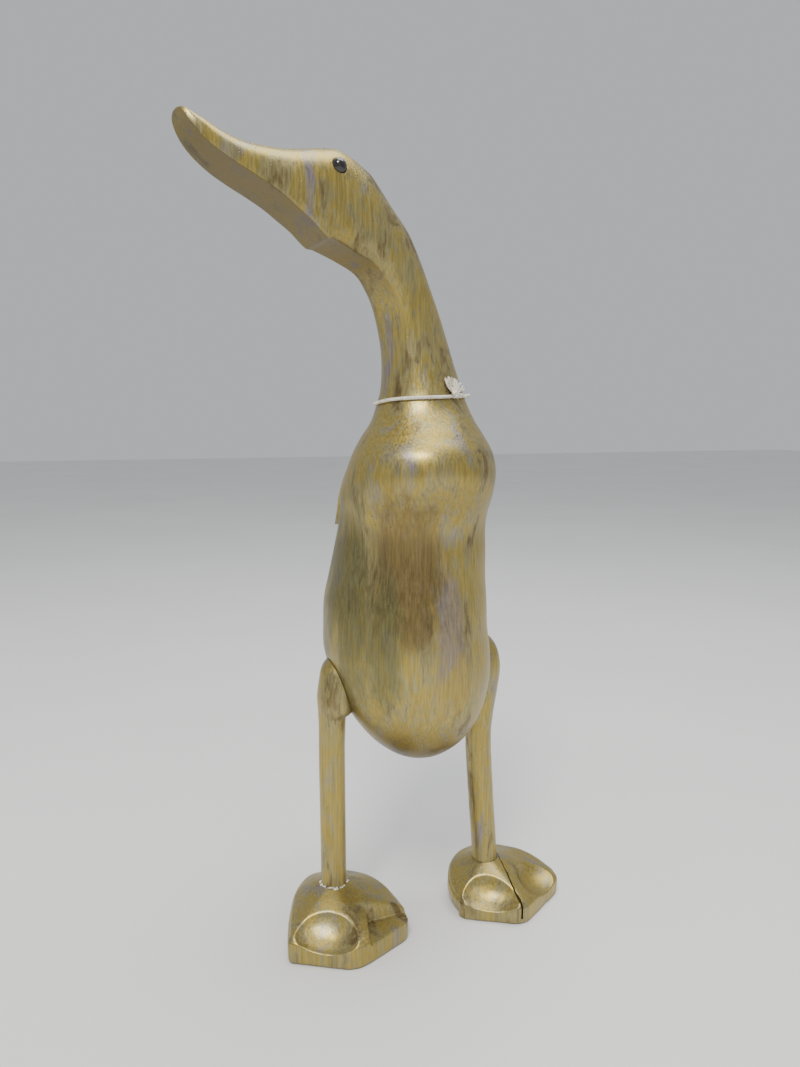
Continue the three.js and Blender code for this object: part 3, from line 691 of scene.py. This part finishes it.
def string_piece():
    rng = np.random.default_rng(7)
    parts = []
    count = 420
    angles = np.linspace(0, 2 * math.pi, count, endpoint=False)
    sag = np.maximum(np.cos(angles - STRING["sag_at"]), 0) ** 4
    level = STRING["height"] + STRING["tilt"] * np.sin(angles) - STRING["sag"] * sag
    path = np.array([neck_point(a, z, STRING["radius"] + 0.15) for a, z in zip(angles, level)])
    out = np.stack([np.sin(angles), -np.cos(angles), 0 * angles], -1)
    tangent = np.roll(path, -1, 0) - np.roll(path, 1, 0)
    tangent /= np.linalg.norm(tangent, axis=1)[:, None]
    side = np.cross(tangent, out)
    for ply in range(3):
        turn = 34 * angles + ply * 2 * math.pi / 3
        line = path + 0.46 * (out * np.cos(turn)[:, None] + side * np.sin(turn)[:, None])
        parts.append(tube(line, 0.54, 8, closed=True))
    for _ in range(170):
        i = rng.integers(count)
        start = path[i] + out[i] * 0.8 + side[i] * rng.uniform(-0.8, 0.8)
        away = out[i] * rng.uniform(0.2, 0.9) + side[i] * rng.uniform(-1, 1)
        away += tangent[i] * rng.uniform(-1.5, 1.5)
        size = rng.uniform(0.5, 1.5)
        middle = start + away * size * 0.5 + rng.normal(0, 0.15, 3)
        parts.append(tube(curve_through([start, middle, start + away * size], 5), 0.055, 3))
    knot = neck_point(KNOT["angle"] * DEG, KNOT["height"], KNOT["radius"] + 0.2)
    t = np.linspace(0, 2 * math.pi, 90, endpoint=False)
    k_out = np.array([math.sin(KNOT["angle"] * DEG), -math.cos(KNOT["angle"] * DEG), 0])
    k_side = np.cross(up, k_out)
    trefoil = [(np.sin(t) + 2 * np.sin(2 * t)), (np.cos(t) - 2 * np.cos(2 * t)), -np.sin(3 * t)]
    line = knot + 0.5 * (trefoil[0][:, None] * k_side + trefoil[1][:, None] * up
                         + 0.9 * trefoil[2][:, None] * k_out)
    parts.append(tube(line, 0.66, 8, closed=True))

    def strand(route, r0, r1, steps=12, sides=6):
        points = [knot] + [neck_point(a * DEG, z, off) for a, off, z in route]
        parts.append(tube(curve_through(points, steps), np.linspace(r0, r1, steps), sides))

    main = [[(18, 1.4, 323.2), (16, 1.6, 327.3)], [(22, 1.6, 323.6), (24, 1.7, 328.4)],
            [(29, 1.8, 323.4), (34, 1.9, 327.4)], [(34, 1.7, 322.2), (46, 2.0, 325.2)],
            [(36, 1.6, 320.6), (50, 2.4, 321.8)]]
    for route in main:
        strand(route, 0.75, 0.32)
    for _ in range(110):
        a, b = main[rng.integers(len(main) - 1)], main[rng.integers(1, len(main))]
        f = rng.uniform(0, 1)
        route = [[(1 - f) * u + f * v for u, v in zip(p, q)] for p, q in zip(a, b)]
        for row in route:
            row[0] += rng.normal(0, 2.0)
            row[1] = max(row[1] + rng.normal(0, 0.5), 0.35)
            row[2] += rng.normal(-0.3, 0.5)
        strand(route, 0.16, 0.09, 8, 3)
    end = [(39, 1.5, 318.9), (56, 1.8, 318.4), (66, 3.2, 318.9)]
    strand(end, 0.75, 0.55, 24, 8)
    for _ in range(26):
        route = [(a + rng.normal(0, 0.6), max(o + rng.normal(0, 0.3), 0.4), z + rng.normal(0, 0.3))
                 for a, o, z in end]
        a, o, z = route[-1]
        route[-1] = (a + rng.uniform(-1, 3), o + rng.uniform(-0.6, 0.5), z + rng.normal(0, 0.6))
        strand(route, 0.13, 0.08, 10, 3)
    verts, faces, base = [], [], 0
    for v, f in parts:
        verts.append(v)
        faces += [tuple(base + i for i in face) for face in f]
        base += len(v)
    return add_object("string", place(np.concatenate(verts)), faces, sharp=50)


# Flecks of glue and paint round the right ankle
def glue_piece():
    rng = np.random.default_rng(11)
    foot = FEET["right"]
    verts, faces, base = [], [], 0
    for _ in range(46):
        a = rng.uniform(-1.0, 1.0) * 1.9
        r = foot["leg_radius"] + rng.uniform(0.1, 0.9)
        centre = np.array([foot["ankle"][0] + r * math.sin(a), foot["ankle"][1] - r * math.cos(a),
                           foot["peak"] - 3.4 - (r - 7.6) * 0.45 + rng.uniform(-0.2, 0.4)])
        bm = bmesh.new()
        bmesh.ops.create_icosphere(bm, subdivisions=2, radius=1)
        p = np.array([v.co for v in bm.verts])
        f = [[v.index for v in face.verts] for face in bm.faces]
        bm.free()
        p *= 1 + 0.35 * np.array([[noise.noise(Vector(v) * 1.6 + Vector((base, 0, 0)))] for v in p])
        size = rng.uniform(0.25, 0.75)
        p = p * size * np.array([rng.uniform(0.8, 1.7), rng.uniform(0.8, 1.4), rng.uniform(0.5, 0.9)])
        verts.append(p + centre)
        faces += [[base + i for i in face] for face in f]
        base += len(p)
    return add_object("ankle_flecks", place(np.concatenate(verts)), faces, sharp=0)


# Materials
class Nodes:
    """Small helper: makes nodes and links them by input name."""

    def __init__(self, name):
        self.material = bpy.data.materials.new(name)
        self.material.use_nodes = True
        self.tree = self.material.node_tree
        self.tree.nodes.clear()

    def add(self, kind, inputs=None, **props):
        node = self.tree.nodes.new(kind)
        for key, value in props.items():
            setattr(node, key, value)
        for key, value in (inputs or {}).items():
            socket = node.inputs[key]
            if isinstance(value, bpy.types.NodeSocket):
                self.tree.links.new(value, socket)
            else:
                socket.default_value = value
        return node

    def math(self, operation, *values, clamp=False):
        inputs = {i: v for i, v in enumerate(values)}
        return self.add("ShaderNodeMath", inputs, operation=operation, use_clamp=clamp).outputs[0]

    def vector(self, operation, *values):
        inputs = {i: v for i, v in enumerate(values)}
        node = self.add("ShaderNodeVectorMath", inputs, operation=operation)
        return node.outputs["Value" if operation in ("LENGTH", "DOT_PRODUCT") else "Vector"]

    def noise(self, vector, scale, detail=3.0, rough=0.55, distortion=0.0):
        node = self.add("ShaderNodeTexNoise", {"Vector": vector, "Scale": scale, "Detail": detail,
                                               "Roughness": rough, "Distortion": distortion})
        return node

    def ramp(self, value, stops, interpolation="LINEAR"):
        node = self.add("ShaderNodeValToRGB", {"Fac": value})
        node.color_ramp.interpolation = interpolation
        elements = node.color_ramp.elements
        while len(elements) < len(stops):
            elements.new(0.5)
        for element, (position, colour) in zip(elements, stops):
            element.position = position
            element.color = (*colour, 1) if len(colour) == 3 else colour
        return node.outputs["Color"]

    def span(self, value, a, b, low=0.0, high=1.0):
        node = self.add("ShaderNodeMapRange", {"Value": value, "From Min": a, "From Max": b,
                                               "To Min": low, "To Max": high},
                        interpolation_type="SMOOTHSTEP")
        return node.outputs["Result"]

    def mix(self, factor, a, b, blend="MIX"):
        node = self.add("ShaderNodeMix", data_type="RGBA", blend_type=blend)
        for socket, value in ((node.inputs[0], factor), (node.inputs[6], a), (node.inputs[7], b)):
            if isinstance(value, bpy.types.NodeSocket):
                self.tree.links.new(value, socket)
            elif socket.type == "RGBA" and len(value) == 3:
                socket.default_value = (*value, 1)
            else:
                socket.default_value = value
        return node.outputs[2]

    def finish(self, bsdf):
        self.add("ShaderNodeOutputMaterial", {"Surface": bsdf.outputs[0]})
        return self.material


def srgb(text):
    c = [int(text[i:i + 2], 16) / 255 for i in (1, 3, 5)]
    return tuple(v / 12.92 if v < 0.04045 else ((v + 0.055) / 1.055) ** 2.4 for v in c)


# Tones of the paint, as the light metal colour before shading; the darkest one is painted shade for
# faces that point down, and the body's patches also use these tones for painted reflection and shade
OLIVE = srgb("#a3986b")
GOLD = srgb("#b09a50")
PALE = srgb("#cfc48a")
BROWN = srgb("#7d6a45")
DOWNWARD_SHADE = srgb("#54462c")
GREY = srgb("#93888a")
GREEN = srgb("#6f6c49")


def paint(name, blobs=(), metallic=0.82, roughness=0.36, grain=0.07, under=0.75, seed=0.0):
    """Brushed gold paint: tones and strokes run up and down, with paler sharp edges and pits; painted
    shade on downward faces and in creases, and placed patches of tone and painted reflection.
    """
    n = Nodes(name)
    raw = n.add("ShaderNodeTexCoord").outputs["Object"]
    p = n.vector("SUBTRACT", n.vector("SCALE", raw), tuple(SHIFT))
    p.node.inputs[0].links[0].from_node.inputs["Scale"].default_value = 1000
    wide = n.noise(n.vector("MULTIPLY", p, (0.06, 0.06, 0.03)), 1.0, 2.0).outputs["Color"]
    warp = n.vector("MULTIPLY", n.vector("SUBTRACT", wide, (0.5, 0.5, 0.5)), (26, 26, 60))
    ragged = n.noise(n.vector("MULTIPLY", p, (0.5, 0.5, 0.09)), 1.0, 3.0).outputs["Color"]
    ragged = n.vector("MULTIPLY", n.vector("SUBTRACT", ragged, (0.5, 0.5, 0.5)), (7, 7, 22))
    pw = n.vector("ADD", n.vector("ADD", p, warp), ragged)
    seeded = n.vector("ADD", pw, (seed, seed * 1.7, seed * 0.6))
    band = n.noise(n.vector("MULTIPLY", seeded, (0.075, 0.075, 0.011)), 1.0, 3.0, 0.6)
    tone = n.ramp(band.outputs["Factor" if "Factor" in band.outputs else "Fac"],
                  [(0.30, BROWN), (0.42, OLIVE), (0.52, GOLD), (0.60, OLIVE), (0.72, GREY)])
    # Placed patches: partly the paint's own uneven tone, partly painted reflection and shade
    for centre, size, colour, strength in blobs:
        away = n.vector("LENGTH", n.vector("DIVIDE", n.vector("SUBTRACT", pw, centre), size))
        mask = n.math("MULTIPLY", n.span(away, 1.15, 0.55), strength)
        tone = n.mix(mask, tone, colour)
    streak = n.noise(n.vector("MULTIPLY", p, (0.9, 0.9, 0.045)), 1.0, 4.0, 0.6).outputs[0]
    fine = n.noise(n.vector("MULTIPLY", p, (3.0, 3.0, 0.16)), 1.0, 3.0, 0.6).outputs[0]
    shade_value = n.math("ADD", n.span(streak, 0.25, 0.75, 0.74, 1.12),
                         n.span(fine, 0.2, 0.8, -0.09, 0.09))
    colour = n.vector("SCALE", tone)
    n.tree.links.new(shade_value, colour.node.inputs["Scale"])
    geometry = n.add("ShaderNodeNewGeometry")
    # Painted shade: faces that point down are darkened toward a dark brown, by the amount `under`
    down = n.vector("DOT_PRODUCT", geometry.outputs["Normal"], (0, 0, -1))
    colour = n.mix(n.span(down, 0.1, 0.95, 0.0, under), colour, DOWNWARD_SHADE)
    # Sharp convex edges made paler in patches, and a little glossier
    edge = n.span(geometry.outputs["Pointiness"], 0.53, 0.60)
    patchy = n.span(n.noise(p, 0.35, 3.0).outputs[0], 0.42, 0.62)
    pale_edge = n.math("MULTIPLY", edge, patchy)
    colour = n.mix(n.math("MULTIPLY", pale_edge, 0.85), colour, PALE)
    # Painted shade: concave creases darkened toward a near-black brown
    crease_shade = n.span(geometry.outputs["Pointiness"], 0.475, 0.42)
    colour = n.mix(n.math("MULTIPLY", crease_shade, 0.8), colour, srgb("#2a2118"))
    pits = n.add("ShaderNodeTexVoronoi", {"Vector": p, "Scale": 0.22, "Randomness": 1.0})
    spot = n.span(pits.outputs["Distance"], 0.10, 0.05)
    colour = n.mix(n.math("MULTIPLY", spot, 0.55), colour, srgb("#4a3d26"))
    rough = n.math("ADD", n.span(streak, 0.2, 0.8, -0.07, 0.08), n.span(fine, 0.2, 0.8, -0.05, 0.05))
    rough = n.math("ADD", n.math("ADD", rough, roughness), n.math("MULTIPLY", pale_edge, -0.06), clamp=True)
    height = n.math("ADD", n.math("MULTIPLY", streak, 1.0), n.math("MULTIPLY", fine, 0.55))
    dabs = n.noise(n.vector("MULTIPLY", p, (0.35, 0.35, 0.14)), 1.0, 3.0).outputs[0]
    height = n.math("ADD", height, n.math("MULTIPLY", dabs, 1.4))
    height = n.math("SUBTRACT", height, n.math("MULTIPLY", spot, 1.2))
    bump = n.add("ShaderNodeBump", {"Strength": 1.0, "Distance": grain * MM, "Height": height})
    bsdf = n.add("ShaderNodeBsdfPrincipled", {
        "Base Color": colour, "Metallic": metallic, "Roughness": rough,
        "Normal": bump.outputs[0], "Specular IOR Level": 0.4})
    return n.finish(bsdf)


def bead_material():
    n = Nodes("black_bead")
    p = n.add("ShaderNodeTexCoord").outputs["Object"]
    smudge = n.noise(p, 420.0, 3.0).outputs[0]
    colour = n.ramp(smudge, [(0.3, (0.004, 0.004, 0.004)), (0.75, (0.022, 0.016, 0.013))])
    dents = n.noise(p, 260.0, 2.0).outputs[0]
    bump = n.add("ShaderNodeBump", {"Strength": 0.5, "Distance": 0.0003, "Height": dents})
    rough = n.span(smudge, 0.3, 0.8, 0.06, 0.2)
    bsdf = n.add("ShaderNodeBsdfPrincipled", {"Base Color": colour, "Roughness": rough,
                                              "Normal": bump.outputs[0], "Coat Weight": 0.5,
                                              "Coat Roughness": 0.05})
    return n.finish(bsdf)


def cotton_material():
    n = Nodes("cotton")
    p = n.add("ShaderNodeTexCoord").outputs["Object"]
    dirt = n.noise(p, 240.0, 4.0).outputs[0]
    colour = n.ramp(dirt, [(0.3, srgb("#b9ad98")), (0.5, srgb("#e6dfd0")), (0.75, srgb("#f4f0e6"))])
    fibre = n.noise(p, 5200.0, 3.0).outputs[0]
    bump = n.add("ShaderNodeBump", {"Strength": 0.6, "Distance": 0.00012, "Height": fibre})
    bsdf = n.add("ShaderNodeBsdfPrincipled", {
        "Base Color": colour, "Roughness": n.span(fibre, 0.2, 0.8, 0.8, 0.97),
        "Normal": bump.outputs[0], "Sheen Weight": 0.3, "Subsurface Weight": 0.1,
        "Subsurface Radius": (0.001, 0.0008, 0.0006)})
    return n.finish(bsdf)


def fleck_material():
    n = Nodes("dried_glue")
    p = n.add("ShaderNodeTexCoord").outputs["Object"]
    tone = n.noise(p, 900.0, 3.0).outputs[0]
    colour = n.ramp(tone, [(0.35, srgb("#a2946c")), (0.5, srgb("#e8e4d6")), (0.8, srgb("#ffffff"))])
    bump = n.add("ShaderNodeBump", {"Strength": 0.5, "Distance": 0.0001, "Height": tone})
    bsdf = n.add("ShaderNodeBsdfPrincipled", {
        "Base Color": colour, "Roughness": n.span(tone, 0.3, 0.8, 0.35, 0.6),
        "Normal": bump.outputs[0]})
    return n.finish(bsdf)


# Patches on the body: centre and size in mm, tone, strength. They are partly the paint's own uneven tone
# and partly painted reflection and shade, such as the dark brown below the breast and the dark green
# down the -X flank.
BODY_TONE_AND_REFLECTION_PATCHES = [
    ((-18, -46, 225), (24, 30, 46), BROWN, 0.85),
    ((6, -48, 190), (11, 30, 44), GREY, 0.6),
    ((34, -34, 225), (9, 30, 60), GOLD, 0.8),
    ((8, -50, 165), (9, 30, 22), GOLD, 0.8),
    ((-30, -38, 190), (9, 30, 50), GREEN, 0.7),
    ((-44, 0, 200), (10, 60, 70), GREEN, 0.7),
]

# Pieces
gold = paint("gold_paint", BODY_TONE_AND_REFLECTION_PATCHES)
finish_piece(body_piece(), "body", gold)
leg_gold = paint("gold_paint_legs", seed=40.0)
for side_name, side in (("right", -1), ("left", 1)):
    leg = leg_piece("carved_leg_" + side_name, side, FEET[side_name], LEGS[side_name])
    finish_piece(leg, "leg_" + side_name, leg_gold)
# under: strength of the painted shade on the feet's downward faces
foot_gold = paint("gold_paint_feet", seed=83.0, grain=0.06, under=0.4)
rough_cuts = {"right": [chisel_tool(FEET["right"])], "left": []}
sharp_cuts = {"right": [], "left": [crack_tool(FEET["left"])]}
for side_name in ("right", "left"):
    foot_obj = foot_piece("carved_foot_" + side_name, FEET[side_name], rough_cuts[side_name],
                          sharp_cuts[side_name])
    shade(foot_obj, 50)
    finish_piece(foot_obj, "foot_" + side_name, foot_gold)
bead = bead_material()
for side_name, side in (("right", -1), ("left", 1)):
    eye = ball("bead_" + side_name, place(eye_centre(side)), EYE["radius"], 6)
    wobble(eye, 3.0, 0.03, 4.0)
    shade(eye, 0)
    finish_piece(eye, "eye_" + side_name, bead)
finish_piece(string_piece(), "neck_string", cotton_material())
finish_piece(glue_piece(), None, fleck_material())


# Floor, lights and world
def floor_material():
    n = Nodes("pale_floor")
    p = n.add("ShaderNodeTexCoord").outputs["Object"]
    tone = n.noise(p, 3.0, 2.0).outputs[0]
    colour = n.ramp(tone, [(0.3, (0.80, 0.80, 0.79)), (0.7, (0.84, 0.84, 0.83))])
    bsdf = n.add("ShaderNodeBsdfPrincipled", {"Base Color": colour, "Roughness": 0.8})
    return n.finish(bsdf)


floor_mesh = bpy.data.meshes.new("floor")
floor_mesh.from_pydata([(-6, -6, 0), (6, -6, 0), (6, 6, 0), (-6, 6, 0)], [], [(0, 1, 2, 3)])
floor = bpy.data.objects.new("floor", floor_mesh)
bpy.context.scene.collection.objects.link(floor)
floor.data.materials.append(floor_material())
floor.location.z = -0.0005


def area_light(name, location, target, size, power, colour=(1, 1, 1)):
    data = bpy.data.lights.new(name, "AREA")
    data.shape = "RECTANGLE"
    data.size, data.size_y = size
    data.energy = power
    data.color = colour
    light = bpy.data.objects.new(name, data)
    light.location = location
    aim = Vector(target) - Vector(location)
    light.rotation_euler = aim.to_track_quat("-Z", "Y").to_euler()
    bpy.context.scene.collection.objects.link(light)


world = bpy.data.worlds.new("world")
bpy.context.scene.world = world
world.use_nodes = True
world.node_tree.nodes["Background"].inputs["Color"].default_value = (0.95, 0.97, 1, 1)
world.node_tree.nodes["Background"].inputs["Strength"].default_value = 0.55
area_light("key", (-0.5, -0.9, 1.5), (0, 0, 0.25), (0.5, 0.5), 22, (1, 0.99, 0.95))
area_light("over", (0.3, 0.1, 1.6), (0, 0, 0.2), (1.0, 1.0), 14)
